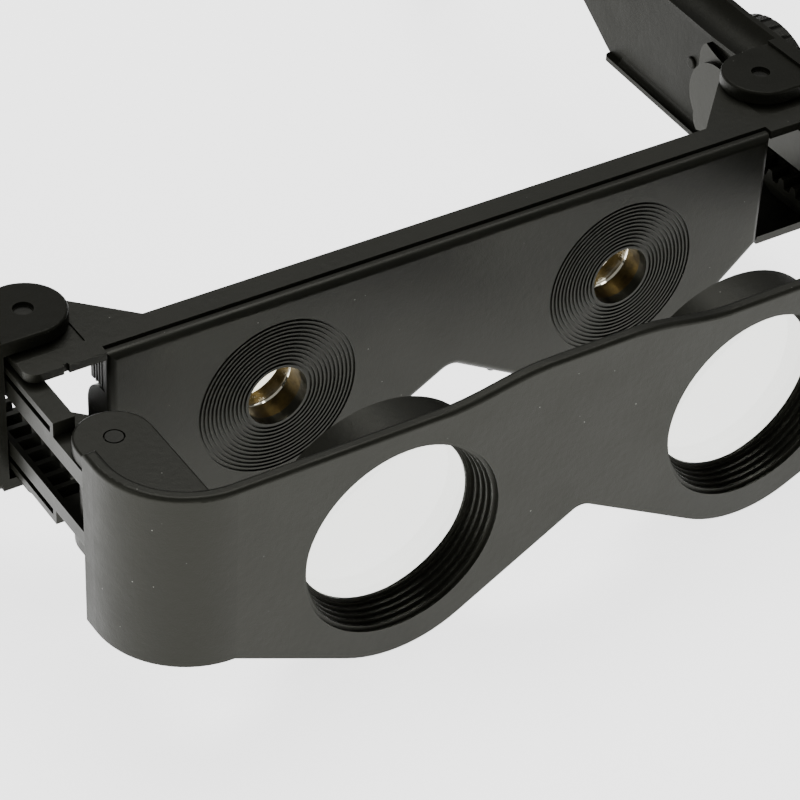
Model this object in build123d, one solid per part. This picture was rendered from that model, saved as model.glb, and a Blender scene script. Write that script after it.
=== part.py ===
from build123d import *
import math
import os

# Binocular head magnifier worn like glasses.  Millimetres.  While it is modelled, X is the
# wearer's left-right, Y runs back towards the wearer, Z is up, and (0, 0, 0) is midway between
# the two eyepieces on the front face of the eyepiece panel.  The last step shifts everything so
# that the origin is the middle of the footprint, on the surface that the magnifier stands on.

# ---- optical layout ----
EYE_SPACING = 62.0
EYE_HOLE_D = 10.0
OBJECTIVE_D = 32.0
OBJECTIVE_Z = -1.8
FRONT_FACE_Y = -34.7
RUNNING_GAP = 0.05
SLIDE_GAP = 0.3
OPEN_PIVOT_GAP = 0.15
MID_Z = 7.2

# ---- front frame ----
FRONT_REACH = 6.5
FRONT_WALL = 2.2
FRONT_CORNER_R = 14.3
FRONT_WRAP_END_Y = -17.5
FRONT_TOP_Z = 18.0
FRONT_BRIDGE_RISE = 2.2
FRONT_END_Z = -12.0
FRONT_FLAT_X = 58.0
FRONT_NOTCH_Z = -7.9
LOBE_MARGIN = 2.3
FRONT_RIM_R = 0.7
BARREL_WALL = 1.5
BARREL_DEPTH = 8.7
APERTURE_STEP = 2.0
RIDGE_COUNT = 5
RIDGE_PITCH = 1.05
RIDGE_T = 0.4
RIDGE_H = 0.55
RIDGE_TAPER = 0.25
EAR_R = 5.8
EAR_T = 2.2
EAR_EDGE_R = 0.4
FRONT_PIN_Y = -14.5

# ---- objective lens and its ring ----
LENS_RIM = 1.6
LENS_T = 1.6
LENS_SEAT_DEPTH = 2.2
LENS_SEAT_GAP = 0.4
LENS_BULGE = 1.2
OBJECTIVE_RING_T = 0.8
OBJECTIVE_RING_W = 1.2

# ---- eyepiece panel ----
PANEL_SIDE_GAP = 1.2
PANEL_TOP_Z = 17.5
PANEL_END_Z = -3.0
PANEL_NOTCH_Z = -5.8
PANEL_LOBE_R = 20.4
PANEL_T = 1.8
PANEL_EDGE_R = 1.2
PANEL_RETURN_T = 1.2
PANEL_RETURN_Y = 7.2
PANEL_RETURN_TOP_Z = 9.9
PANEL_RETURN_R = 4.6
END_WALL_T = 1.5
END_WALL_LOW_Z = 10.1
END_RIB_PITCH = 0.8
GROOVE_COUNT = 12
GROOVE_OUTER_D = 27.0
GROOVE_W = 0.42
GROOVE_DEPTH = 0.3

# ---- rear frame ----
REAR_PLATE_Y = 4.2
REAR_PLATE_T = 1.9
REAR_INSET = 1.4
REAR_SIDE_INSET = 4.0
TOP_PLATE_Z = 18.0
TOP_PLATE_T = 1.4
TOP_PLATE_FRONT_Y = 2.05
LUG_FRONT_Y = 0.5
LUG_HALF_W = 5.3
LUG_R = 6.4
KINK_INSET = 8.5
RECESS_OFFSET = 5.5
RECESS_DEPTH = 0.3
RECESS_FRONT_Y = 4.4
NOTCH_OFFSET = 0.6
NOTCH_W = 0.8
EYE_TUBE_WALL = 1.5
EYE_TUBE_LENGTH = 2.2
EYE_CELL_D = 14.1
EYE_CELL_BORE_D = 10.6
EYE_CELL_FLANGE_W = 0.7
EYE_CELL_FLANGE_T = 0.8
EYE_LENS_D = 12.0
EYE_LENS_T = 2.0
EYE_LENS_DIP = 0.4
EYE_LENS_Y = 5.3

# ---- rear hinge ----
PIN_X = 65.5
REAR_PIN_Y = 12.6
PIN_D = 2.6
PIN_RECESS = 0.7
PIN_MOUTH_GAP = 0.25
PIN_MOUTH_DEPTH = 0.6
ARM_LUG_T = 2.1
LUG_GAP = 0.2

# ---- rack ----
RACK_REACH = 6.0
RACK_T = 4.4
BLOCK_T = 3.4
RACK_HALF_H = 6.6
BLOCK_HALF_H = 9.0
BLOCK_FRONT_Y = -8.0
BLOCK_REAR_Y = 31.0
RACK_REAR_Y = 25.0
RACK_LUG_R = 4.9
RACK_FRONT_Y = -16.6
TOOTH_ROW_FRONT_Y = -9.9
WINDOW_GAP = 0.26
TOOTH_TIP_Z = 3.1
TOOTH_DEPTH = 1.5
TOOTH_PITCH = 3.0
TOOTH_LEDGE = 0.9
TOOTH_ADDENDUM = 0.6
WEB_T = 1.3
WEB_Z = 7.0
WEB_FRONT_Y = -9.7
WEB_REAR_Y = 10.5
WEB_CLOSED_Y = 20.0
RELIEF_Y = 20.0
RELIEF_HALF_L = 11.0
RELIEF_DEPTH = 2.2
GUIDE_SLOT_H = 1.1
GUIDE_SLOT_DEPTH = 1.8
GUIDE_SLOT_EDGE = 1.1

# ---- pinion and knob ----
PINION_TEETH = 8
PINION_W = 1.7
PINION_ROOT_R = 2.95
SHAFT_R = 2.6
KNOB_Y = 25.4
KNOB_R = 12.6
KNOB_GAP = 0.8
KNOB_T = 4.4
KNOB_GRIPS = 30
KNOB_GRIP_R = 0.55
SPIGOT_R = 1.7
SCREW_R = 0.9
SCREW_HEAD_R = 2.2
SCREW_HEAD_T = 1.3
SCREW_LENGTH = 5.0

# ---- arm ----
ARM_WALL = 2.6
ARM_RIM = 0.6
ARM_LUG_REAR_Y = 18.9
FLANGE_W = 5.2
LOWER_FLANGE_W = 1.4
LOWER_FLANGE_T = 0.9
FLANGE_FILLET = 2.2
LOWER_FILLET = 1.2
BLINKER_END_Y = 62.0
BLINKER_CORNER_R = 4.0
SPLAY_START_Y = 27.0
SPLAY_END_Y = 75.0
SPLAY_DEG = 3.0
TROUGH_R = 6.0
TROUGH_OFFSET = 2.0
TROUGH_FLOOR_T = 0.4
TEMPLE_END_Y = 128.0
TEMPLE_H = 9.5
TEMPLE_TAPER_LENGTH = 30.0
TEMPLE_TOP_DROP = 3.0
HOOK_LENGTH = 20.0
GUIDE_RIB_FRONT_Y = 13.5
GUIDE_RIB_REAR_Y = 24.0
WALL_BUTTON_Y = 37.8
WALL_BUTTON_R = 1.1
WALL_BUTTON_H = 0.5

# ---- nose pads ----
NOSE_PAD_X = 10.6
NOSE_PAD_Z = -10.5
NOSE_PAD_W = 3.4
NOSE_PAD_H = 11.0
NOSE_PAD_DEPTH = 5.5
NOSE_PEG_R = 1.3

# ---- sizes that follow ----
EYE_X = EYE_SPACING / 2
FRONT_HALF_W = PIN_X + FRONT_REACH
EAR_INNER_X = PIN_X - EAR_R
PANEL_HALF_W = EAR_INNER_X - PANEL_SIDE_GAP
LUG_OUTER_X = PIN_X + LUG_HALF_W
KINK_X = PANEL_HALF_W - KINK_INSET
RECESS_X = PIN_X - RECESS_OFFSET
NOTCH_X = PIN_X - NOTCH_OFFSET
RACK_OUTER_X = PIN_X + RACK_REACH
RACK_INNER_X = RACK_OUTER_X - RACK_T
BLOCK_INNER_X = RACK_OUTER_X - BLOCK_T
ARM_INNER_X = RACK_OUTER_X + SLIDE_GAP
FLANGE_INNER_X = ARM_INNER_X - FLANGE_W
LOWER_FLANGE_INNER_X = ARM_INNER_X - LOWER_FLANGE_W
LENS_D = OBJECTIVE_D + LENS_RIM
APERTURE_D = OBJECTIVE_D - 2 * APERTURE_STEP
BARREL_D = LENS_D + 2 * BARREL_WALL
FRONT_LOBE_R = BARREL_D / 2 + LOBE_MARGIN
EYE_TUBE_D = EYE_CELL_D + 2 * EYE_TUBE_WALL
EYE_TUBE_END_Y = REAR_PLATE_Y + REAR_PLATE_T + EYE_TUBE_LENGTH
PIN_MOUTH_D = PIN_D + 2 * PIN_MOUTH_GAP
HOOK_START_Y = TEMPLE_END_Y - HOOK_LENGTH
TEMPLE_TAPER_Y = BLINKER_END_Y + TEMPLE_TAPER_LENGTH
TOOTH_ROOT_Z = TOOTH_TIP_Z - TOOTH_DEPTH
PITCH_R = PINION_TEETH * TOOTH_PITCH / (2 * math.pi)
KNOB_Z = TOOTH_TIP_Z - TOOTH_ADDENDUM + PITCH_R
PINION_TIP_R = PITCH_R + TOOTH_ADDENDUM
WINDOW_TOP_Z = KNOB_Z + PINION_TIP_R + WINDOW_GAP
FRAME_PLATE_OUT = TOP_PLATE_Z - MID_Z
FRAME_PLATE_IN = FRAME_PLATE_OUT - TOP_PLATE_T
ARM_LUG_IN = FRAME_PLATE_OUT + LUG_GAP
ARM_LUG_OUT = ARM_LUG_IN + ARM_LUG_T
ARM_OUTER_X = ARM_INNER_X + ARM_WALL
EAR_IN = RACK_HALF_H + 0.2
EAR_OUT = EAR_IN + EAR_T
BARREL_REAR_Y = FRONT_FACE_Y + BARREL_DEPTH
KNOB_INNER_X = ARM_OUTER_X + KNOB_GAP
KNOB_OUTER_X = KNOB_INNER_X + KNOB_T
FLOOR_Z = OBJECTIVE_Z - FRONT_LOBE_R


def box(x0, x1, y0, y1, z0, z1):
    """Box between two corners."""
    centre = Pos((x0 + x1) / 2, (y0 + y1) / 2, (z0 + z1) / 2)
    return centre * Box(x1 - x0, y1 - y0, z1 - z0)


def disc(x, y, z, radius, length, axis):
    """Cylinder that starts at a point and runs along +X, +Y or +Z."""
    turns = {"x": Rotation(0, 90, 0), "y": Rotation(-90, 0, 0), "z": Rotation(0, 0, 0)}
    start = Align.CENTER, Align.CENTER, Align.MIN
    return Pos(x, y, z) * turns[axis] * Cylinder(radius, length, align=start)


def facing_slab(sketch, y_front, y_back):
    """A sketch drawn in X and Z, made solid between two Y planes."""
    plane = Plane(origin=(0, y_back, 0), x_dir=(1, 0, 0), z_dir=(0, -1, 0))
    return extrude(plane * sketch, amount=y_back - y_front)


def side_slab(sketch, x_inner, x_outer):
    """A sketch drawn in Y and Z, made solid between two X planes."""
    plane = Plane(origin=(x_inner, 0, 0), x_dir=(0, 1, 0), z_dir=(1, 0, 0))
    return extrude(plane * sketch, amount=x_outer - x_inner)


def both_levels(half_in, half_out, sketch):
    """The same flat shape above and below mid height, between two distances from it."""
    upper = extrude(Plane.XY.offset(MID_Z + half_in) * sketch, amount=half_out - half_in)
    lower = extrude(Plane.XY.offset(MID_Z - half_out) * sketch, amount=half_out - half_in)
    return upper, lower


def round_outer_edge(plate, radius):
    """Round the rim of a flat plate on the side away from mid height."""
    outer = Axis.Z if plate.center().Z > MID_Z else Axis((0, 0, 0), (0, 0, -1))
    return fillet(plate.faces().sort_by(outer)[-1].edges(), radius=radius)


def pin_hole(x, y, half_in, half_out, radius, level):
    """Cutter for a pin's hole through one plate, with a wider mouth on its outer face."""
    hole = disc(x, y, MID_Z + half_in - 1, radius, half_out - half_in + 2, "z")
    mouth = disc(x, y, MID_Z + half_out - PIN_MOUTH_DEPTH, PIN_MOUTH_D / 2, PIN_MOUTH_DEPTH + 1, "z")
    cutter = hole + mouth
    return cutter if level > 0 else mirror(cutter, about=Plane.XY.offset(MID_Z))


def tangent_point(px, pz, cx, cz, radius, side):
    """Where the line from a point touches a circle, on its left (+1) or right (-1)."""
    distance = math.hypot(cx - px, cz - pz)
    heading = math.atan2(cz - pz, cx - px) + side * math.asin(radius / distance)
    reach = math.sqrt(distance ** 2 - radius ** 2)
    return px + reach * math.cos(heading), pz + reach * math.sin(heading)


def lobed_face(half_w, flat_x, top_z, end_z, notch_z, lobe_r, lobe_z, rise=0.0):
    """Glasses outline: flat top, straight ends, a round lobe under each eye and a nose notch."""
    outer = tangent_point(flat_x, end_z, EYE_X, lobe_z, lobe_r, 1)
    inner = tangent_point(0, notch_z, EYE_X, lobe_z, lobe_r, -1)
    lowest = (EYE_X, lobe_z - lobe_r)
    edges = [
        Line((half_w, top_z), (half_w, end_z)),
        Line((flat_x, end_z), outer),
        ThreePointArc(outer, lowest, inner),
        Line(inner, (0, notch_z)),
        Line((0, notch_z), (0, top_z + rise)),
    ]
    if rise:
        edges.append(Line((0, top_z + rise), (7, top_z + rise)))
        edges.append(Spline((7, top_z + rise), (25, top_z), tangents=[(1, 0), (1, 0)]))
        edges.append(Line((25, top_z), (half_w, top_z)))
    else:
        edges.append(Line((0, top_z), (half_w, top_z)))
    if flat_x < half_w:
        edges.append(Line((half_w, end_z), (flat_x, end_z)))
    half = make_face(Curve() + edges)
    whole = half + mirror(half, about=Plane.YZ)
    apex = whole.vertices().filter_by(lambda v: abs(v.X) < 0.01 and v.Y < 0)
    return fillet(apex, radius=3.0)


def at_both_eyes(solid):
    """A solid made at the right eye, and its mirror image at the left eye."""
    return [solid, mirror(solid, about=Plane.YZ)]


# ---- front frame ----

def front_plan(inset):
    """Plan of the front frame's outside, or of its inside when inset by the wall."""
    half = FRONT_HALF_W - inset
    front = FRONT_FACE_Y + inset
    depth = FRONT_WRAP_END_Y - front
    plan = Pos(0, front + depth / 2) * Rectangle(2 * half, depth)
    corners = plan.vertices().sort_by(Axis.Y)[:2]
    return fillet(corners, radius=FRONT_CORNER_R - inset)


def ear_plan():
    """Plan of one hinge ear: it fills the corner and ends round about the front pin."""
    corner = front_plan(FRONT_WALL / 2)
    reach = FRONT_HALF_W - EAR_INNER_X
    depth = FRONT_WRAP_END_Y - FRONT_FACE_Y
    strip = Pos(EAR_INNER_X + reach / 2, FRONT_WRAP_END_Y - depth / 2) * Rectangle(reach, depth)
    neck_length = FRONT_PIN_Y - FRONT_WRAP_END_Y + 0.5
    neck = Pos(PIN_X, FRONT_PIN_Y - neck_length / 2) * Rectangle(2 * EAR_R, neck_length)
    return (corner & strip) + neck + Pos(PIN_X, FRONT_PIN_Y) * Circle(EAR_R)


def front_frame():
    """Lobed front plate with wrapped ends, ears for the racks and a barrel behind each hole."""
    ring = front_plan(0) - front_plan(FRONT_WALL)
    wall = extrude(Plane.XY.offset(-40) * ring, amount=80)
    wall -= box(-40, 40, FRONT_WRAP_END_Y - 1, FRONT_WRAP_END_Y + 1, -50, 50)
    outline = lobed_face(FRONT_HALF_W, FRONT_FLAT_X, FRONT_TOP_Z, FRONT_END_Z, FRONT_NOTCH_Z,
                         FRONT_LOBE_R, OBJECTIVE_Z, FRONT_BRIDGE_RISE)
    body = wall & facing_slab(outline, FRONT_FACE_Y - 1, FRONT_WRAP_END_Y + 1)
    rim = body.edges().filter_by(lambda e: e.bounding_box().min.Z > FRONT_TOP_Z - 0.01)
    body = fillet(rim, radius=FRONT_RIM_R)
    for solid in both_levels(EAR_IN, EAR_OUT, ear_plan()):
        for ear in at_both_eyes(round_outer_edge(solid, EAR_EDGE_R)):
            body += ear
    for side in (1, -1):
        body += disc(side * EYE_X, FRONT_FACE_Y + 1, OBJECTIVE_Z, BARREL_D / 2, BARREL_DEPTH - 1, "y")
    for side in (1, -1):
        for cut in barrel_cuts(side * EYE_X):
            body -= cut
        for level in (1, -1):
            body -= pin_hole(side * PIN_X, FRONT_PIN_Y, EAR_IN, EAR_OUT, PIN_D / 2, level)
    return body


def barrel_cuts(x):
    """The hole through one barrel: a row of narrowing ridges, then one seat for lens and ring."""
    start = FRONT_FACE_Y - 1
    cuts = [disc(x, start, OBJECTIVE_Z, APERTURE_D / 2, BARREL_DEPTH + 2, "y")]
    cuts.append(disc(x, start, OBJECTIVE_Z, OBJECTIVE_D / 2, 1 + RIDGE_T / 2, "y"))
    for index in range(RIDGE_COUNT):
        y = FRONT_FACE_Y + RIDGE_PITCH * index
        radius = OBJECTIVE_D / 2 - RIDGE_TAPER * index
        cuts.append(disc(x, y, OBJECTIVE_Z, radius, RIDGE_PITCH - RIDGE_T, "y"))
        cuts.append(disc(x, y, OBJECTIVE_Z, radius - RIDGE_H, RIDGE_PITCH, "y"))
    seat = BARREL_REAR_Y - LENS_SEAT_DEPTH - OBJECTIVE_RING_T
    cuts.append(disc(x, seat, OBJECTIVE_Z, LENS_D / 2 + RUNNING_GAP, 20, "y"))
    return cuts


def lens(x, y, z, diameter, edge, bulge):
    """Round lens turned from its section: a bulge above zero is convex, below zero is hollow."""
    radius = diameter / 2
    sphere = (radius ** 2 + bulge ** 2) / (2 * abs(bulge))
    rise = math.sqrt(sphere ** 2 - radius ** 2 / 4) - sphere + abs(bulge)
    half_way = math.copysign(rise, bulge)
    section = [
        ThreePointArc((0, -bulge), (radius / 2, -half_way), (radius, 0)),
        Line((radius, 0), (radius, edge)),
        ThreePointArc((radius, edge), (radius / 2, edge + half_way), (0, edge + bulge)),
        Line((0, edge + bulge), (0, -bulge)),
    ]
    return Pos(x, y, z) * revolve(make_face(Curve() + section), axis=Axis.Y)


def objective_lens():
    """Convex lens that sits on the barrel's inner step."""
    seat = BARREL_REAR_Y - LENS_SEAT_DEPTH - OBJECTIVE_RING_T
    return lens(EYE_X, seat + LENS_SEAT_GAP, OBJECTIVE_Z, LENS_D, LENS_T, LENS_BULGE)


def objective_ring():
    """Ring pressed into the back of the barrel, holding the lens."""
    start = BARREL_REAR_Y - OBJECTIVE_RING_T
    ring = disc(EYE_X, start, OBJECTIVE_Z, LENS_D / 2 + RUNNING_GAP, OBJECTIVE_RING_T - 0.1, "y")
    bore = LENS_D / 2 - OBJECTIVE_RING_W
    return ring - disc(EYE_X, start - 1, OBJECTIVE_Z, bore, OBJECTIVE_RING_T + 2, "y")


# ---- eyepiece panel and rear frame ----

def eyepiece_panel():
    """Front cover of the rear frame, with fine rings turned round each eye hole."""
    outline = lobed_face(PANEL_HALF_W, PANEL_HALF_W, PANEL_TOP_Z, PANEL_END_Z, PANEL_NOTCH_Z,
                         PANEL_LOBE_R, 0)
    panel = facing_slab(outline, 0, PANEL_T)
    panel = fillet(panel.faces().sort_by(Axis.Y)[0].edges(), radius=PANEL_EDGE_R)
    for side in (1, -1):
        inner = side * (PANEL_HALF_W - PANEL_RETURN_T)
        edge = side * PANEL_HALF_W
        low = MID_Z - FRAME_PLATE_IN + 0.1
        wall = box(min(inner, edge), max(inner, edge), PANEL_EDGE_R, PANEL_RETURN_Y, low, PANEL_RETURN_TOP_Z)
        upper_back = wall.edges().filter_by(Axis.X).group_by(Axis.Z)[-1].sort_by(Axis.Y)[-1]
        panel += fillet(upper_back, radius=PANEL_RETURN_R)
        panel -= disc(side * EYE_X, -1, 0, EYE_HOLE_D / 2, PANEL_T + 2, "y")
        panel -= Pos(side * EYE_X, 0, 0) * eye_grooves()
    return panel


def eye_grooves():
    """Concentric grooves between the eye hole and the outermost ring, as one cutter."""
    inner = EYE_HOLE_D / 2 + 0.3
    pitch = (GROOVE_OUTER_D / 2 - inner) / GROOVE_COUNT
    rings = []
    for index in range(GROOVE_COUNT):
        radius = inner + pitch * (index + 0.5)
        outside = disc(0, -1, 0, radius + GROOVE_W / 2, 1 + GROOVE_DEPTH, "y")
        rings.append(outside - disc(0, -2, 0, radius - GROOVE_W / 2, 4, "y"))
    return Compound(children=rings)


def top_plate_plan():
    """Plan of the frame's top plate: a bar, a slanted gusset and a lug round the rear pin."""
    back = REAR_PLATE_Y + REAR_PLATE_T
    slope = REAR_PIN_Y + LUG_R - back
    points = [
        (0, TOP_PLATE_FRONT_Y), (RECESS_X - 1.4, TOP_PLATE_FRONT_Y), (RECESS_X - 1.4, LUG_FRONT_Y),
        (LUG_OUTER_X, LUG_FRONT_Y), (LUG_OUTER_X, REAR_PIN_Y), (PIN_X, REAR_PIN_Y + LUG_R),
        (KINK_X + slope, REAR_PIN_Y + LUG_R), (KINK_X, back), (0, back),
    ]
    plan = make_face(Polyline(points, close=True)) + Pos(PIN_X, REAR_PIN_Y) * Circle(LUG_R - 0.6)
    corner = plan.vertices().filter_by(lambda v: v.Y < LUG_FRONT_Y + 0.1).sort_by(Axis.X)[-1]
    return fillet(corner, radius=2.0)


def lug_plan():
    """Plan of the frame's lower lug, which is the end of the top plate's plan."""
    window = box(KINK_X + 2, LUG_OUTER_X + 5, -20, 40, -1, 1)
    behind_panel = box(0, PANEL_HALF_W + 0.1, -20, REAR_PLATE_Y, -2, 2)
    return top_plate_plan() & (window - behind_panel)


def end_wall(side):
    """Short ribbed wall that closes the gap under the top plate at one end of the panel."""
    outer = PANEL_HALF_W - 0.1
    high = TOP_PLATE_Z - TOP_PLATE_T + 0.1
    back = REAR_PLATE_Y + REAR_PLATE_T
    wall = box(outer - END_WALL_T, outer, PANEL_T + 0.2, back, END_WALL_LOW_Z, high)
    for index in range(4):
        start = PANEL_T + 0.6 + index * END_RIB_PITCH
        wall -= box(outer - 0.25, outer + 1, start, start + END_RIB_PITCH / 2, END_WALL_LOW_Z - 1, high + 1)
    return wall if side > 0 else mirror(wall, about=Plane.YZ)


def rear_frame():
    """Back plate with an eye tube on each side, a top plate and hinge lugs above and below."""
    half_w = PANEL_HALF_W - REAR_SIDE_INSET
    outline = lobed_face(half_w, half_w, PANEL_TOP_Z - 0.2, PANEL_END_Z - 0.6,
                         PANEL_NOTCH_Z + REAR_INSET, PANEL_LOBE_R - REAR_INSET, 0)
    back = REAR_PLATE_Y + REAR_PLATE_T
    frame = facing_slab(outline, REAR_PLATE_Y, back)
    top_z = MID_Z + FRAME_PLATE_IN
    top = extrude(Plane.XY.offset(top_z) * top_plate_plan(), amount=TOP_PLATE_T)
    bottom = extrude(Plane.XY.offset(MID_Z - FRAME_PLATE_OUT) * lug_plan(), amount=TOP_PLATE_T)
    step = box(RECESS_X, LUG_OUTER_X + 1, RECESS_FRONT_Y, 40, TOP_PLATE_Z - RECESS_DEPTH, TOP_PLATE_Z + 1)
    notch = box(NOTCH_X - NOTCH_W / 2, NOTCH_X + NOTCH_W / 2, 0, LUG_FRONT_Y + 0.5, 0, 50)
    for half in at_both_eyes(top - step - notch) + at_both_eyes(bottom):
        frame += half
    for side in (1, -1):
        frame += end_wall(side)
        frame += disc(side * EYE_X, PANEL_T, 0, EYE_TUBE_D / 2, EYE_TUBE_END_Y - PANEL_T, "y")
    for side in (1, -1):
        frame -= disc(side * EYE_X, 0, 0, EYE_CELL_D / 2, 30, "y")
        frame -= disc(side * PIN_X, REAR_PIN_Y, -40, PIN_D / 2, 80, "z")
        frame -= disc(side * NOSE_PAD_X, back - 1.5, NOSE_PAD_Z, NOSE_PEG_R, 3, "y")
    return frame


def eyepiece_lens():
    """Hollow lens seated in the back of its metal cell."""
    return lens(EYE_X, EYE_LENS_Y, 0, EYE_LENS_D, EYE_LENS_T, -EYE_LENS_DIP)


def eyepiece_cell():
    """Metal tube pressed into the frame: it has a flange at the back and a seat for the lens."""
    front = PANEL_T + 0.1
    flange_end = EYE_TUBE_END_Y + EYE_CELL_FLANGE_T
    cell = disc(EYE_X, front, 0, EYE_CELL_D / 2, flange_end - front, "y")
    cell += disc(EYE_X, EYE_TUBE_END_Y, 0, EYE_CELL_D / 2 + EYE_CELL_FLANGE_W, EYE_CELL_FLANGE_T, "y")
    cell -= disc(EYE_X, EYE_LENS_Y, 0, EYE_LENS_D / 2 + RUNNING_GAP, 20, "y")
    return cell - disc(EYE_X, front - 1, 0, EYE_CELL_BORE_D / 2, 20, "y")


def nose_pad():
    """Soft pad on the back of the frame beside the nose, held by a peg."""
    back = REAR_PLATE_Y + REAR_PLATE_T
    pad = Pos(NOSE_PAD_X, back + NOSE_PAD_DEPTH / 2, NOSE_PAD_Z)
    pad = pad * Rotation(0, -28, 0) * Box(NOSE_PAD_W, NOSE_PAD_DEPTH, NOSE_PAD_H)
    pad = fillet(pad.edges().filter_by(Axis.Y), radius=1.6)
    back_edges = pad.faces().sort_by(Axis.Y)[-1].edges()
    pad = fillet(back_edges, radius=1.2)
    return pad + disc(NOSE_PAD_X, back - 1.5, NOSE_PAD_Z, NOSE_PEG_R, 3, "y")


# ---- hinges ----

def hinge_pins(y, half_in, half_out):
    """One short pin above mid height and one below, standing a little inside both faces."""
    length = half_out - half_in - PIN_RECESS
    upper = disc(PIN_X, y, MID_Z + half_in, PIN_D / 2, length, "z")
    lower = disc(PIN_X, y, MID_Z - half_in - length, PIN_D / 2, length, "z")
    return Compound(children=[upper, lower])


# ---- rack ----

def rack(pin_gap):
    """Sliding bar with the tooth row in its window and a round lug for the front hinge."""
    length = RACK_REAR_Y - RACK_FRONT_Y
    profile = Pos(RACK_FRONT_Y + length / 2, MID_Z) * Rectangle(length, 2 * RACK_HALF_H)
    profile += Pos(RACK_REAR_Y, MID_Z) * Circle(RACK_HALF_H)
    bar = side_slab(profile, RACK_INNER_X, RACK_OUTER_X)
    block_length = BLOCK_REAR_Y - BLOCK_FRONT_Y
    block = Pos(BLOCK_FRONT_Y + block_length / 2, MID_Z) * Rectangle(block_length, 2 * BLOCK_HALF_H)
    rear = block.vertices().sort_by(Axis.X)[-2:]
    bar += side_slab(fillet(rear, radius=3.0), BLOCK_INNER_X, RACK_OUTER_X)
    bar += rack_neck()
    bar -= rack_window()
    bar += disc(PIN_X, FRONT_PIN_Y, MID_Z - RACK_HALF_H, RACK_LUG_R, 2 * RACK_HALF_H, "z")
    for level in (1, -1):
        bar -= guide_slot(level)
        bar -= rack_relief(level)
    return bar - disc(PIN_X, FRONT_PIN_Y, MID_Z - 20, PIN_D / 2 + pin_gap, 40, "z")


def rack_neck():
    """Web between the bar and its round lug, full height until the window is cut."""
    points = [
        (PIN_X, FRONT_PIN_Y), (RACK_OUTER_X, FRONT_PIN_Y), (RACK_OUTER_X, BLOCK_FRONT_Y),
        (RACK_INNER_X, BLOCK_FRONT_Y), (PIN_X - RACK_LUG_R * 0.7, FRONT_PIN_Y + RACK_LUG_R * 0.714),
    ]
    plan = make_face(Polyline(points, close=True))
    return extrude(Plane.XY.offset(MID_Z - RACK_HALF_H) * plan, amount=2 * RACK_HALF_H)


def rack_relief(level):
    """Shallow curved valley in the bar's inner face, above or below its middle."""
    rise = BLOCK_HALF_H - RACK_HALF_H
    radius = (RELIEF_HALF_L ** 2 + rise ** 2) / (2 * rise)
    height = MID_Z + level * (RACK_HALF_H + radius)
    return disc(RACK_INNER_X - 1, RELIEF_Y, height, radius, 1 + RELIEF_DEPTH, "x")


def rack_window():
    """The window, less what stays in it: the inner web and the teeth along its floor."""
    rear = KNOB_Y + PINION_TIP_R + 0.25
    front = RACK_FRONT_Y - 1
    clear = box(RACK_INNER_X - 1, RACK_OUTER_X + 1, front, rear, TOOTH_TIP_Z, WINDOW_TOP_Z)
    clear -= box(RACK_INNER_X - 2, RACK_INNER_X + WEB_T, WEB_FRONT_Y, WEB_REAR_Y, WEB_Z, WINDOW_TOP_Z + 1)
    clear -= box(RACK_INNER_X - 2, RACK_INNER_X + WEB_T, WEB_CLOSED_Y, rear + 1, -1, WINDOW_TOP_Z + 1)
    gaps = Sketch()
    count = int((rear - TOOTH_ROW_FRONT_Y) / TOOTH_PITCH)
    first = TOOTH_ROW_FRONT_Y + (KNOB_Y - TOOTH_ROW_FRONT_Y) % TOOTH_PITCH
    for index in range(count):
        y = first + index * TOOTH_PITCH
        if y + TOOTH_PITCH / 2 < rear:
            gaps += tooth_gap(y)
    pockets = side_slab(gaps, RACK_INNER_X - 1, RACK_OUTER_X - TOOTH_LEDGE)
    pockets -= box(RACK_INNER_X - 2, RACK_INNER_X + WEB_T, WEB_CLOSED_Y, rear + 1, -1, WINDOW_TOP_Z)
    return clear + pockets


def tooth_gap(y):
    """Space between two rack teeth, wider at its mouth."""
    mouth = TOOTH_PITCH * 0.36
    floor = TOOTH_PITCH * 0.2
    top = TOOTH_TIP_Z + 0.05
    points = [(y - mouth, top), (y - floor, TOOTH_ROOT_Z), (y + floor, TOOTH_ROOT_Z), (y + mouth, top)]
    return make_face(Polyline(points, close=True))


def guide_slot(level):
    """Long groove in the bar's outer face that the arm's guide rib runs in."""
    far = MID_Z + level * (BLOCK_HALF_H - GUIDE_SLOT_EDGE)
    near = far - level * GUIDE_SLOT_H
    inner = RACK_OUTER_X - GUIDE_SLOT_DEPTH
    return box(inner, RACK_OUTER_X + 1, BLOCK_FRONT_Y + 0.9, BLOCK_REAR_Y + 5, min(near, far), max(near, far))


# ---- pinion, knob and screw ----

def pinion():
    """Small gear on a shaft that passes out through the arm's wall."""
    x = RACK_INNER_X + WEB_T + 0.25
    gear = Circle(PINION_ROOT_R)
    for index in range(PINION_TEETH):
        angle = 270 + 360 / PINION_TEETH * index
        base = TOOTH_PITCH * 0.25
        tip = TOOTH_PITCH * 0.13
        points = [(PINION_ROOT_R - 0.4, -base), (PINION_TIP_R, -tip), (PINION_TIP_R, tip),
                  (PINION_ROOT_R - 0.4, base)]
        gear += Rot(0, 0, angle) * make_face(Polyline(points, close=True))
    body = side_slab(Pos(KNOB_Y, KNOB_Z) * gear, x, x + PINION_W)
    body += disc(x, KNOB_Y, KNOB_Z, SHAFT_R, KNOB_INNER_X - x, "x")
    body += disc(x, KNOB_Y, KNOB_Z, SPIGOT_R, KNOB_INNER_X + KNOB_T * 0.6 - x, "x")
    return body - disc(x + 2, KNOB_Y, KNOB_Z, SCREW_R, 20, "x")


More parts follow.
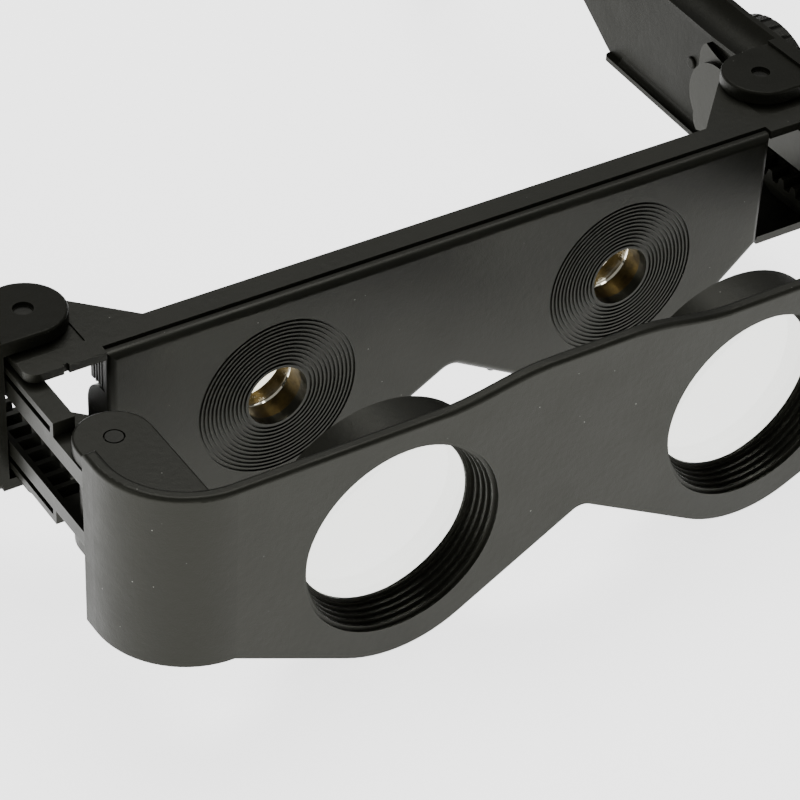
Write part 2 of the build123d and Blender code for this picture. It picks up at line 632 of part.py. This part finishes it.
def knob():
    """Round knob with small grips on its rim and a recess for the screw head."""
    wheel = disc(KNOB_INNER_X, KNOB_Y, KNOB_Z, KNOB_R, KNOB_T, "x")
    wheel = fillet(wheel.edges().filter_by(GeomType.CIRCLE).sort_by(Axis.X)[-1], radius=0.8)
    grips = Sketch()
    for index in range(KNOB_GRIPS):
        grips += Rot(0, 0, 360 / KNOB_GRIPS * index) * Pos(KNOB_R + 0.1, 0) * Circle(KNOB_GRIP_R)
    wheel -= side_slab(Pos(KNOB_Y, KNOB_Z) * grips, KNOB_INNER_X - 1, KNOB_OUTER_X + 1)
    wheel -= disc(KNOB_OUTER_X - 0.8, KNOB_Y, KNOB_Z, KNOB_R - 3.0, 2, "x")
    wheel += disc(KNOB_OUTER_X - 1.2, KNOB_Y, KNOB_Z, SCREW_HEAD_R + 1.8, 1.2, "x")
    wheel -= disc(KNOB_INNER_X - 1, KNOB_Y, KNOB_Z, SPIGOT_R, KNOB_T * 0.6 + 1, "x")
    wheel -= disc(KNOB_INNER_X, KNOB_Y, KNOB_Z, SCREW_R + 0.15, 10, "x")
    return wheel - disc(KNOB_OUTER_X - SCREW_HEAD_T, KNOB_Y, KNOB_Z, SCREW_HEAD_R + 0.15, 3, "x")


def knob_screw():
    """Small cross-head screw that holds the knob on the pinion's shaft."""
    start = KNOB_OUTER_X - SCREW_HEAD_T
    screw = disc(start - SCREW_LENGTH, KNOB_Y, KNOB_Z, SCREW_R, SCREW_LENGTH + 0.5, "x")
    head = disc(start, KNOB_Y, KNOB_Z, SCREW_HEAD_R, SCREW_HEAD_T - 0.1, "x")
    head = fillet(head.edges().filter_by(GeomType.CIRCLE).sort_by(Axis.X)[-1], radius=0.5)
    for width, height in ((0.5, 2.6), (2.6, 0.5)):
        slot = Pos(KNOB_OUTER_X, KNOB_Y, KNOB_Z) * Box(1.6, width, height)
        head -= slot
    return screw + head


# ---- arm ----

def arm_lug_plan():
    """Plan of the arm's hinge lug: round about the pin, square against the wall."""
    front = REAR_PIN_Y - LUG_R
    depth = ARM_LUG_REAR_Y - front
    reach = ARM_INNER_X + 1 - PIN_X
    square = Pos(PIN_X + reach / 2, front + depth / 2) * Rectangle(reach, depth)
    return square + Pos(PIN_X, REAR_PIN_Y) * Circle(LUG_R)


def arm_side():
    """Side view of the arm's wall: deep round the gear, then tapering to the temple and hook."""
    front = REAR_PIN_Y - LUG_R
    top = MID_Z + ARM_LUG_OUT + ARM_RIM
    bottom = MID_Z - ARM_LUG_OUT
    temple_top = top - TEMPLE_TOP_DROP
    edges = [
        Line((front, bottom), (front, top)),
        Line((front, top), (BLINKER_END_Y, top)),
        Spline((BLINKER_END_Y, top), (HOOK_START_Y, temple_top), tangents=[(1, 0), (1, -0.1)]),
        Spline((HOOK_START_Y, temple_top), (TEMPLE_END_Y, FLOOR_Z + 3.0), tangents=[(1, -0.1), (0.1, -1)]),
        ThreePointArc((TEMPLE_END_Y, FLOOR_Z + 3.0), (TEMPLE_END_Y - 4.0, FLOOR_Z),
                      (TEMPLE_END_Y - 8.0, FLOOR_Z + 3.0)),
        Spline((TEMPLE_END_Y - 8.0, FLOOR_Z + 3.0), (HOOK_START_Y - 6, temple_top - TEMPLE_H),
               tangents=[(-0.1, 1), (-1, 0.1)]),
        Spline((HOOK_START_Y - 6, temple_top - TEMPLE_H), (TEMPLE_TAPER_Y, temple_top - TEMPLE_H - 0.4),
               (BLINKER_END_Y + 1.5, bottom + 1.6), tangents=[(-1, 0.0), (-0.86, -0.5)]),
        Line((BLINKER_END_Y + 1.5, bottom + 1.6), (BLINKER_END_Y - 1.5, bottom)),
        Line((BLINKER_END_Y - 1.5, bottom), (front, bottom)),
    ]
    side = make_face(Curve() + edges)
    corners = side.vertices().sort_by(Axis.X)[:2]
    return fillet(corners, radius=1.6)


def splay(y):
    """How far outwards the arm has bent at a place along it."""
    return max(0, min(y, SPLAY_END_Y) - SPLAY_START_Y) * math.tan(math.radians(SPLAY_DEG))


def arm_wall():
    """The wall seen from above, straight, then splayed, then curved in, cut to its side view."""
    lean = math.sin(math.radians(SPLAY_DEG)), math.cos(math.radians(SPLAY_DEG))
    front = REAR_PIN_Y - LUG_R - 1
    faces = []
    for x in (ARM_INNER_X, ARM_OUTER_X):
        bend = (x, SPLAY_START_Y)
        end = (x + splay(SPLAY_END_Y), SPLAY_END_Y)
        tip = (x + splay(SPLAY_END_Y), TEMPLE_END_Y + 1)
        faces.append([Line((x, front), bend), Line(bend, end), TangentArc(end, tip, tangent=lean)])
    ends = [Line((ARM_INNER_X, front), (ARM_OUTER_X, front)), Line(faces[0][2] @ 1, faces[1][2] @ 1)]
    plan = make_face(Curve() + faces[0] + faces[1] + ends)
    silhouette = side_slab(arm_side(), ARM_INNER_X - 1, ARM_OUTER_X + 20)
    return extrude(Plane.XY.offset(-60) * plan, amount=120) & silhouette


def arm_flange(level, inner_x, thickness):
    """Inward flange along the deep part of the arm, with a rounded rear corner."""
    faces = sorted((MID_Z + level * (ARM_LUG_OUT - thickness), MID_Z + level * ARM_LUG_OUT))
    front = ARM_LUG_REAR_Y - 1
    shift = splay(BLINKER_END_Y)
    middle = ARM_INNER_X + ARM_WALL / 2
    points = [
        (inner_x, front), (middle, front), (middle, SPLAY_START_Y), (middle + shift, BLINKER_END_Y),
        (inner_x + shift, BLINKER_END_Y), (inner_x, SPLAY_START_Y),
    ]
    plan = make_face(Polyline(points, close=True))
    corner = plan.vertices().sort_by(Axis.Y)[-2:].sort_by(Axis.X)[0]
    room = ARM_INNER_X - inner_x
    plan = fillet(corner, radius=min(BLINKER_CORNER_R, room * 0.9))
    return extrude(Plane.XY.offset(faces[0]) * plan, amount=faces[1] - faces[0])


def along_arm(profile, x, z, start, end):
    """A profile in X and Z swept along the arm, straight and then splayed."""
    path = Polyline((x, start, z), (x, SPLAY_START_Y, z), (x + splay(end), end, z))
    plane = Plane(origin=(x, start, z), x_dir=(1, 0, 0), z_dir=(0, -1, 0))
    return sweep(plane * profile, path=path, transition=Transition.RIGHT)


def corner_bead(level, radius, thickness):
    """Hollow-round bead where a flange meets the wall."""
    height = MID_Z + level * (ARM_LUG_OUT - thickness)
    square = Pos(-radius / 2 + 0.1, level * (0.1 - radius / 2)) * Rectangle(radius + 0.2, radius + 0.2)
    profile = square - Pos(-radius, -level * radius) * Circle(radius)
    return along_arm(profile, ARM_INNER_X, height, ARM_LUG_REAR_Y - 1, BLINKER_END_Y - BLINKER_CORNER_R)


def arm():
    """One arm: hinge lugs, gear wall with guide ribs, deep side shield and temple."""
    body = arm_wall()
    body += arm_flange(1, FLANGE_INNER_X, ARM_LUG_T)
    body += arm_flange(-1, LOWER_FLANGE_INNER_X, LOWER_FLANGE_T)
    body += corner_bead(1, FLANGE_FILLET, ARM_LUG_T)
    body += corner_bead(-1, LOWER_FILLET, LOWER_FLANGE_T)
    for lug in both_levels(ARM_LUG_IN, ARM_LUG_OUT, arm_lug_plan()):
        body += round_outer_edge(lug, EAR_EDGE_R)
    body -= trough()
    for level in (1, -1):
        slot = BLOCK_HALF_H - GUIDE_SLOT_EDGE - GUIDE_SLOT_H / 2
        middle = MID_Z + level * slot
        half = GUIDE_SLOT_H / 2 - SLIDE_GAP
        body += box(RACK_OUTER_X - GUIDE_SLOT_DEPTH + SLIDE_GAP, ARM_INNER_X + 0.5,
                    GUIDE_RIB_FRONT_Y, GUIDE_RIB_REAR_Y, middle - half, middle + half)
        body -= pin_hole(PIN_X, REAR_PIN_Y, ARM_LUG_IN, ARM_LUG_OUT, PIN_D / 2 + RUNNING_GAP, level)
    button_x = ARM_INNER_X + splay(WALL_BUTTON_Y) - WALL_BUTTON_H
    button = disc(button_x, WALL_BUTTON_Y, KNOB_Z, WALL_BUTTON_R, WALL_BUTTON_H + 1, "x")
    body += fillet(button.edges().sort_by(Axis.X)[0], radius=WALL_BUTTON_H * 0.8)
    return body - disc(ARM_INNER_X - 5, KNOB_Y, KNOB_Z, SHAFT_R + RUNNING_GAP, 20, "x")


def trough():
    """Round-bottomed cutter that hollows the top of the upper flange and leaves an outer rim."""
    height = MID_Z + ARM_LUG_IN + TROUGH_FLOOR_T + TROUGH_R
    centre = FLANGE_INNER_X + TROUGH_OFFSET
    return along_arm(Circle(TROUGH_R), centre, height, ARM_LUG_REAR_Y, BLINKER_END_Y + 6)


# ---- write every piece ----

os.makedirs("parts", exist_ok=True)
origin_y = (FRONT_FACE_Y + TEMPLE_END_Y) / 2
placed = Pos(0, -origin_y, -FLOOR_Z)


def write(name, solid):
    """Move one piece to the standing frame and write its file."""
    export_step(placed * solid, os.path.join("parts", name + ".step"))


def write_pair(name, solid):
    """Write the right-hand piece and its left-hand mirror image."""
    write(name + "_right", solid)
    write(name + "_left", mirror(solid, about=Plane.YZ))


write("front_frame", front_frame())
write("eyepiece_panel", eyepiece_panel())
write("rear_frame", rear_frame())
write_pair("objective_lens", objective_lens())
write_pair("objective_ring", objective_ring())
write_pair("eyepiece_lens", eyepiece_lens())
write_pair("eyepiece_cell", eyepiece_cell())
write_pair("nose_pad", nose_pad())
write_pair("rear_hinge_pins", hinge_pins(REAR_PIN_Y, FRAME_PLATE_IN, ARM_LUG_OUT))
write_pair("front_hinge_pins", hinge_pins(FRONT_PIN_Y, RACK_HALF_H - 3, EAR_OUT + PIN_RECESS))
write("rack_right", rack(OPEN_PIVOT_GAP))
write("rack_left", mirror(rack(RUNNING_GAP), about=Plane.YZ))
write_pair("pinion", pinion())
write_pair("focus_knob", knob())
write_pair("knob_screw", knob_screw())
write_pair("arm", arm())
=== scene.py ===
# %% [markdown]
# # Head magnifier with sliding lens plates
#
# This lesson dresses a finished CAD model of a head magnifier.  The model comes in as a fixed
# frame: every plastic piece already has its true size and place.  What is left is the looks.  The
# lenses are modelled again here, because see-through surfaces need evenly spaced faces to bend
# light cleanly, and every surface gets a material made of nodes.

# %% Load the frame
import bpy
import bmesh
import math
from mathutils import Matrix, Vector


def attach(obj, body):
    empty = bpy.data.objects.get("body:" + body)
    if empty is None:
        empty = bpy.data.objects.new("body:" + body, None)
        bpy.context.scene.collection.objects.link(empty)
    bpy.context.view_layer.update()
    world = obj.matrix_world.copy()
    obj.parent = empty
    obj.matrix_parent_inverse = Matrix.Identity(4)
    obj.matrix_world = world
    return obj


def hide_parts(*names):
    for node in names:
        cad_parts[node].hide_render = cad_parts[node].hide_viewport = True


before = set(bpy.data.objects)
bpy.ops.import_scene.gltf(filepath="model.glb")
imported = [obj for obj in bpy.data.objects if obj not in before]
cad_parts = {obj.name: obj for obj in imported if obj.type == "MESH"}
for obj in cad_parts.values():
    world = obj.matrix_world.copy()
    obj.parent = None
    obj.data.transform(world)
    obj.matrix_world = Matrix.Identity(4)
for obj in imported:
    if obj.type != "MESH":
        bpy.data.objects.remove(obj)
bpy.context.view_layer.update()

# %% [markdown]
# ## Camera
#
# The camera looks down on the front plate from its left end, with a long lens, so the far end is
# only a little smaller than the near one.  It could be placed by hand, but an aim point, two
# angles, a small tilt and a distance say the same thing in words that are easy to change.

# %% Camera
AIM = Vector((-0.0113, -0.0496, 0.0161))
CAMERA_DISTANCE = 0.45
CAMERA_AZIMUTH = math.radians(-34.08)
CAMERA_ELEVATION = math.radians(38.06)
CAMERA_TILT = math.radians(2.96)
CAMERA_LENS = 134.4


def place_camera():
    """Aim a new camera at AIM from the chosen angles."""
    right = Vector((math.cos(CAMERA_AZIMUTH), math.sin(CAMERA_AZIMUTH), 0))
    level = math.cos(CAMERA_ELEVATION)
    back = Vector((math.sin(CAMERA_AZIMUTH) * level, -math.cos(CAMERA_AZIMUTH) * level,
                   math.sin(CAMERA_ELEVATION)))
    up = back.cross(right)
    tilted_right = math.cos(CAMERA_TILT) * right + math.sin(CAMERA_TILT) * up
    tilted_up = math.cos(CAMERA_TILT) * up - math.sin(CAMERA_TILT) * right
    camera = bpy.data.objects.new("camera", bpy.data.cameras.new("camera"))
    bpy.context.collection.objects.link(camera)
    turn = Matrix((tilted_right, tilted_up, back)).transposed().to_4x4()
    camera.matrix_world = Matrix.Translation(AIM + back * CAMERA_DISTANCE) @ turn
    camera.data.lens = CAMERA_LENS
    camera.data.sensor_width = 36
    camera.data.clip_start = 0.01
    bpy.context.scene.camera = camera
    return camera


camera = place_camera()
print("camera at", [round(v, 3) for v in camera.location])

# %% [markdown]
# ## Floor and light
#
# Black plastic shows its shape only by what it reflects.  A floor that glows white puts soft grey
# reflections on the upright faces, a dim world keeps the rest dark, and weak area lights lift the
# level tops and the rounded rims.  Small lamps would give hard spots, so every light here is wide.

# %% Floor
FLOOR_SIZE = 6.0
FLOOR_DROP = 0.0003
FLOOR_GLOW = 2.4


def make_floor():
    """A wide pale sheet under the magnifier."""
    bpy.ops.object.select_all(action="DESELECT")
    bpy.ops.mesh.primitive_plane_add(size=FLOOR_SIZE, location=(0, 0, -FLOOR_DROP))
    floor = bpy.context.active_object
    floor.name = "floor"
    bpy.ops.object.transform_apply(location=True, rotation=True, scale=True)
    paper = bpy.data.materials.new("white_paper")
    paper.use_nodes = True
    shader = paper.node_tree.nodes["Principled BSDF"]
    shader.inputs["Base Color"].default_value = (0.95, 0.95, 0.95, 1)
    shader.inputs["Roughness"].default_value = 0.9
    shader.inputs["Emission Color"].default_value = (1, 1, 1, 1)
    shader.inputs["Emission Strength"].default_value = FLOOR_GLOW
    floor.data.materials.append(paper)
    return floor


make_floor()

# %% Lights
def add_light(name, place, aim, size, power):
    """A square area light that faces a point."""
    data = bpy.data.lights.new(name, "AREA")
    data.shape = "SQUARE"
    data.size = size
    data.energy = power
    lamp = bpy.data.objects.new(name, data)
    bpy.context.collection.objects.link(lamp)
    lamp.location = place
    lamp.rotation_euler = (Vector(aim) - Vector(place)).to_track_quat("-Z", "Y").to_euler()
    return lamp


WORLD_GLOW = 0.28
add_light("left_softbox", (-1.1, 0.1, 0.75), (0, 0, 0), 0.9, 4)
add_light("front_softbox", (-0.3, -1.2, 0.7), (0, 0, 0), 0.8, 2)
add_light("top_softbox", (0.3, 0.5, 1.3), (0, 0, 0), 0.9, 13)

world = bpy.data.worlds.new("studio")
bpy.context.scene.world = world
world.use_nodes = True
world.node_tree.nodes["Background"].inputs["Color"].default_value = (1, 1, 1, 1)
world.node_tree.nodes["Background"].inputs["Strength"].default_value = WORLD_GLOW

# %% [markdown]
# ## Moulded plastic
#
# The frame, racks and arms are injection-moulded black plastic: satin, faintly warm, with a fine
# grain, a few specks of dust and slightly shinier rims, whose colour is also paled as a painted
# highlight.  A picture of plastic would stretch over these shapes, so the pattern is made of noise
# that reads the object's own coordinates in metres.  The pieces share one recipe with different
# amounts of each ingredient.

# %% Node helpers
def new_material(name):
    """An empty node material with its shader and Object coordinates ready."""
    material = bpy.data.materials.new(name)
    material.use_nodes = True
    tree = material.node_tree
    where = tree.nodes.new("ShaderNodeTexCoord")
    return material, tree, tree.nodes["Principled BSDF"], where.outputs["Object"]


def noise(tree, place, scale, detail=2.0, roughness=0.5):
    """A noise texture's value."""
    node = tree.nodes.new("ShaderNodeTexNoise")
    node.inputs["Scale"].default_value = scale
    node.inputs["Detail"].default_value = detail
    node.inputs["Roughness"].default_value = roughness
    tree.links.new(place, node.inputs["Vector"])
    return node.outputs["Fac"]


def spread(tree, value, low, high, to_low, to_high):
    """Map a value from one range to another, held at both ends."""
    node = tree.nodes.new("ShaderNodeMapRange")
    node.inputs["From Min"].default_value = low
    node.inputs["From Max"].default_value = high
    node.inputs["To Min"].default_value = to_low
    node.inputs["To Max"].default_value = to_high
    tree.links.new(value, node.inputs["Value"])
    return node.outputs["Result"]


def combine(tree, kind, first, second):
    """One step of arithmetic on two values, or on a value and a number."""
    node = tree.nodes.new("ShaderNodeMath")
    node.operation = kind
    for socket, value in zip(node.inputs, (first, second)):
        if isinstance(value, (int, float)):
            socket.default_value = value
        else:
            tree.links.new(value, socket)
    return node.outputs["Value"]


def mix_colours(tree, amount, first, second):
    """Blend two colours by an amount.  Each is a colour socket or an (r, g, b)."""
    node = tree.nodes.new("ShaderNodeMix")
    node.data_type = "RGBA"
    tree.links.new(amount, node.inputs[0])
    for socket, value in ((node.inputs[6], first), (node.inputs[7], second)):
        if isinstance(value, tuple):
            socket.default_value = (*value, 1)
        else:
            tree.links.new(value, socket)
    return node.outputs[2]


def rim_highlight_mask(tree, width):
    """How close a point is to a corner, from the angle between its normal and a rounded one; it
    marks the rims that get a painted highlight.
    """
    rounded = tree.nodes.new("ShaderNodeBevel")
    rounded.samples = 6
    rounded.inputs["Radius"].default_value = width
    flat = tree.nodes.new("ShaderNodeNewGeometry")
    dot = tree.nodes.new("ShaderNodeVectorMath")
    dot.operation = "DOT_PRODUCT"
    tree.links.new(rounded.outputs["Normal"], dot.inputs[0])
    tree.links.new(flat.outputs["Normal"], dot.inputs[1])
    return spread(tree, dot.outputs["Value"], 0.995, 0.75, 0.0, 1.0)


def bumped(tree, shader, height, strength, distance):
    """Tilt the shader's normal by a height."""
    node = tree.nodes.new("ShaderNodeBump")
    node.inputs["Strength"].default_value = strength
    node.inputs["Distance"].default_value = distance
    tree.links.new(height, node.inputs["Height"])
    tree.links.new(node.outputs["Normal"], shader.inputs["Normal"])


def specks(tree, place, scale, size):
    """Sparse round dots: 1 on a dot, 0 elsewhere."""
    cells = tree.nodes.new("ShaderNodeTexVoronoi")
    cells.inputs["Scale"].default_value = scale
    tree.links.new(place, cells.inputs["Vector"])
    near = spread(tree, cells.outputs["Distance"], size * 0.6, size, 1.0, 0.0)
    chosen = tree.nodes.new("ShaderNodeSeparateColor")
    tree.links.new(cells.outputs["Color"], chosen.inputs["Color"])
    rare = spread(tree, chosen.outputs["Red"], 0.975, 0.98, 0.0, 1.0)
    return combine(tree, "MULTIPLY", near, rare)


# %% Moulded plastic
def moulded_plastic(name, dark, light, gloss, grain, rim_highlight_amount, dust, shine=0.2):
    """Satin black plastic.  gloss is its mean roughness; grain, rim_highlight_amount and dust are
    amounts.  rim_highlight_amount is a painted highlight that pales the colour along the rims and
    also makes them a little shinier.
    """
    material, tree, shader, place = new_material(name)
    clouds = noise(tree, place, 45, 4, 0.6)
    colour = mix_colours(tree, spread(tree, clouds, 0.35, 0.65, 0, 1), dark, light)
    # Painted highlight: near the rims the colour is mixed towards a paler tone, broken up by noise,
    # and the same mask lowers the roughness there.
    edge = rim_highlight_mask(tree, 0.0005)
    patchy = spread(tree, noise(tree, place, 260, 3), 0.35, 0.7, 0.3, 1.0)
    rim_highlight = combine(tree, "MULTIPLY", combine(tree, "MULTIPLY", edge, patchy), rim_highlight_amount)
    pale = tuple(c * 2.2 + 0.006 for c in light)
    colour = mix_colours(tree, rim_highlight, colour, pale)
    dots = combine(tree, "MULTIPLY", specks(tree, place, 1100, 0.13), dust)
    colour = mix_colours(tree, dots, colour, (0.22, 0.22, 0.20))
    tree.links.new(colour, shader.inputs["Base Color"])
    smudges = spread(tree, noise(tree, place, 90, 5, 0.65), 0.3, 0.7, gloss - 0.06, gloss + 0.07)
    polished = combine(tree, "SUBTRACT", smudges, combine(tree, "MULTIPLY", rim_highlight, 0.12))
    tree.links.new(polished, shader.inputs["Roughness"])
    fine = noise(tree, place, 5200, 2)
    orange_peel = noise(tree, place, 900, 2)
    height = combine(tree, "ADD", fine, combine(tree, "MULTIPLY", orange_peel, 1.5))
    bumped(tree, shader, height, grain, 0.00006)
    shader.inputs["Specular IOR Level"].default_value = shine
    shader.inputs["Specular Tint"].default_value = (1.0, 1.0, 0.86, 1)
    return material


FRAME_DARK = (0.0060, 0.0062, 0.0044)
FRAME_LIGHT = (0.0086, 0.0087, 0.0064)
frame_plastic = moulded_plastic("frame_plastic", FRAME_DARK, FRAME_LIGHT, 0.42, 0.35, 0.5, 0.8)
panel_plastic = moulded_plastic("panel_plastic", FRAME_DARK, FRAME_LIGHT, 0.38, 0.25, 0.5, 0.6)
rack_plastic = moulded_plastic("rack_plastic", FRAME_DARK, FRAME_LIGHT, 0.34, 0.2, 0.8, 0.4)
arm_plastic = moulded_plastic("arm_plastic", FRAME_DARK, FRAME_LIGHT, 0.42, 0.4, 0.6, 0.6, 0.09)
KNOB_DARK = (0.006, 0.006, 0.0055)
KNOB_LIGHT = (0.009, 0.009, 0.008)
knob_plastic = moulded_plastic("knob_plastic", KNOB_DARK, KNOB_LIGHT, 0.5, 0.5, 0.4, 0.4)
PIN_DARK = (0.005, 0.005, 0.0045)
PIN_LIGHT = (0.008, 0.008, 0.007)
pin_plastic = moulded_plastic("pin_plastic", PIN_DARK, PIN_LIGHT, 0.4, 0.3, 0.3, 0.2)
print("plastics:", [m.name for m in bpy.data.materials if "plastic" in m.name])


# %% [markdown]
# ## Steel screws
#
# Each knob is held by a small plated screw.  Turned metal shows fine rings round its middle, but
# at this size a faint random grain reads the same, so noise is enough.

# %% Screw steel
def screw_steel():
    """Plated steel with a slight grain."""
    material, tree, shader, place = new_material("screw_steel")
    grain = noise(tree, place, 2200, 3)
    tree.links.new(mix_colours(tree, grain, (0.42, 0.42, 0.43), (0.56, 0.56, 0.57)),
                   shader.inputs["Base Color"])
    tree.links.new(spread(tree, grain, 0.3, 0.7, 0.25, 0.4), shader.inputs["Roughness"])
    shader.inputs["Metallic"].default_value = 1.0
    bumped(tree, shader, grain, 0.15, 0.00003)
    return material


# %% [markdown]
# ## Brass eyepiece cells
#
# The small rear lenses sit in metal tubes with a dark golden finish.  Only the inside of the bore
# shows, so a warm metal with a mottled tarnish is enough; darker patches keep it from looking new.

# %% Dark brass
def dark_brass():
    """Tarnished golden metal."""
    material, tree, shader, place = new_material("dark_brass")
    tarnish = noise(tree, place, 380, 4, 0.6)
    tree.links.new(mix_colours(tree, spread(tree, tarnish, 0.35, 0.65, 0, 1), (0.085, 0.060, 0.022),
                               (0.03, 0.022, 0.009)), shader.inputs["Base Color"])
    tree.links.new(spread(tree, tarnish, 0.3, 0.7, 0.28, 0.45), shader.inputs["Roughness"])
    shader.inputs["Metallic"].default_value = 1.0
    bumped(tree, shader, noise(tree, place, 3000, 2), 0.1, 0.00003)
    return material


# %% [markdown]
# ## Lens glass
#
# The big front lenses are clear moulded plastic and the small rear ones have a warm coating.  A
# see-through surface could be faked with plain transparency, but real transmission bends what is
# behind it, which is what makes a magnifier look like one.

# %% Lens glass
def lens_glass(name, tint, strength, ior):
    """Clear lens material with faint swirls and dust."""
    material, tree, shader, place = new_material(name)
    swirl = noise(tree, place, 120, 3)
    colour = mix_colours(tree, swirl, tint, tuple(min(1, c * 1.04) for c in tint))
    dots = specks(tree, place, 700, 0.08)
    tree.links.new(mix_colours(tree, dots, colour, (0.8, 0.8, 0.78)), shader.inputs["Base Color"])
    haze = combine(tree, "MAXIMUM", spread(tree, swirl, 0.3, 0.8, 0.0, 0.02),
                   combine(tree, "MULTIPLY", dots, 0.5))
    tree.links.new(haze, shader.inputs["Roughness"])
    shader.inputs["Transmission Weight"].default_value = strength
    shader.inputs["IOR"].default_value = ior
    bumped(tree, shader, noise(tree, place, 60, 1), 0.02, 0.0001)
    return material


clear_glass = lens_glass("clear_glass", (0.95, 0.96, 0.92), 1.0, 1.49)
amber_glass = lens_glass("amber_glass", (0.90, 0.86, 0.70), 1.0, 1.49)

# %% [markdown]
# ## Soft pads
#
# The nose pads are soft black rubber with a dull, slightly powdery face.

# %% Pad rubber
def pad_rubber():
    """Dull dark rubber."""
    material, tree, shader, place = new_material("pad_rubber")
    clouds = noise(tree, place, 300, 4)
    tree.links.new(mix_colours(tree, clouds, (0.018, 0.018, 0.018), (0.035, 0.035, 0.034)),
                   shader.inputs["Base Color"])
    tree.links.new(spread(tree, clouds, 0.3, 0.7, 0.6, 0.8), shader.inputs["Roughness"])
    bumped(tree, shader, noise(tree, place, 3500, 2), 0.4, 0.00005)
    return material


# %% Give each node its material
NODE_FINISHES = {
    "front_frame": frame_plastic, "rear_frame": frame_plastic, "eyepiece_panel": panel_plastic,
    "objective_ring": panel_plastic, "eyepiece_cell": dark_brass(), "arm": arm_plastic,
    "rack": rack_plastic, "pinion": rack_plastic, "focus_knob": knob_plastic,
    "rear_hinge_pins": pin_plastic, "front_hinge_pins": pin_plastic, "knob_screw": screw_steel(),
    "objective_lens": clear_glass, "eyepiece_lens": amber_glass, "nose_pad": pad_rubber(),
}


def finish_node(name, node):
    """Put the right material in every slot of one CAD node."""
    kind = name.removesuffix("_left").removesuffix("_right")
    if not node.material_slots:
        node.data.materials.append(NODE_FINISHES[kind])
    for slot in node.material_slots:
        slot.material = NODE_FINISHES[kind]


for name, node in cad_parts.items():
    finish_node(name, node)
print("finished nodes:", len(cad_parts))

# %% [markdown]
# ## Lenses
#
# A lens is a disc with a shallow ball shape on each face.  It could be cut from two large balls,
# but that leaves thin, uneven faces along the cut.  Here each lens starts as a plain cylinder, its
# rims are bevelled, and each end face is inset ring by ring, with every ring lifted (or lowered,
# in a hollow lens) to where the ball's surface would be.  A last poke closes the middle.

# %% Lens helpers
LENS_RINGS = 12
LENS_SIDES = 96
LENS_CHAMFER = 0.00015


def sag(radius, rim, bulge):
    """Height of a ball-shaped face above its rim, at a distance from the axis."""
    ball = (rim ** 2 + bulge ** 2) / (2 * abs(bulge))
    height = math.sqrt(ball ** 2 - radius ** 2) - ball + abs(bulge)
    return math.copysign(height, bulge)


def pick_end(lens, side):
    """Select only the end face on one side of a lens that is open in edit mode."""
    mesh = bmesh.from_edit_mesh(lens.data)
    for face in mesh.faces:
        face.select_set(face.normal.y * side > 0.99)
    bmesh.update_edit_mesh(lens.data)


def shape_end(lens, side, rim, bulge):
    """Turn one flat end face into rings that follow a ball."""
    pick_end(lens, side)
    step = rim / LENS_RINGS
    for ring in range(1, LENS_RINGS):
        rise = sag(rim - ring * step, rim, bulge) - sag(rim - (ring - 1) * step, rim, bulge)
        bpy.ops.mesh.inset(thickness=step, depth=rise, use_even_offset=True)
    bpy.ops.mesh.poke(offset=bulge - sag(step, rim, bulge))


def turned_lens(name, centre, radius, edge, bulge, glass, body, slot):
    """A lens with both faces alike: bulge above zero is full, below zero is hollow."""
    bpy.ops.object.select_all(action="DESELECT")
    bpy.ops.mesh.primitive_cylinder_add(vertices=LENS_SIDES, radius=radius, depth=edge,
                                        location=centre, rotation=(math.pi / 2, 0, 0))
    lens = bpy.context.active_object
    lens.name = name + "_glass"
    bpy.ops.object.transform_apply(location=True, rotation=True, scale=True)
    bpy.ops.object.mode_set(mode="EDIT")
    mesh = bmesh.from_edit_mesh(lens.data)
    for line in mesh.edges:
        first, second = line.verts
        line.select_set(abs(first.co.y - second.co.y) < edge / 4)
    bmesh.update_edit_mesh(lens.data)
    bpy.ops.mesh.bevel(offset=LENS_CHAMFER, segments=1)
    for side in (-1, 1):
        shape_end(lens, side, radius - LENS_CHAMFER, bulge)
    bpy.ops.mesh.select_all(action="SELECT")
    bpy.ops.mesh.remove_doubles(threshold=0.000001)
    bpy.ops.mesh.normals_make_consistent(inside=False)
    bpy.ops.object.mode_set(mode="OBJECT")
    bpy.ops.object.shade_smooth_by_angle(angle=math.radians(30))
    lens.data.materials.append(glass)
    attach(lens, body)
    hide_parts(name)
    return lens


# %% Front lenses
EYE_X = 0.031
FRONT_LENS = {"radius": 0.0168, "edge": 0.0016, "bulge": 0.0012}
FRONT_LENS_Y = -0.07445
FRONT_LENS_Z = 0.0206

for side, x in (("left", -EYE_X), ("right", EYE_X)):
    made = turned_lens("objective_lens_" + side, (x, FRONT_LENS_Y, FRONT_LENS_Z), **FRONT_LENS,
                       glass=clear_glass, body="front", slot="clear_lens")
    print(made.name, len(made.data.polygons), "faces")

# %% Rear lenses
REAR_LENS = {"radius": 0.006, "edge": 0.002, "bulge": -0.0004}
REAR_LENS_Y = -0.04035
REAR_LENS_Z = 0.0224

for side, x in (("left", -EYE_X), ("right", EYE_X)):
    made = turned_lens("eyepiece_lens_" + side, (x, REAR_LENS_Y, REAR_LENS_Z), **REAR_LENS,
                       glass=amber_glass, body="frame", slot="amber_lens")
    print(made.name, len(made.data.polygons), "faces")
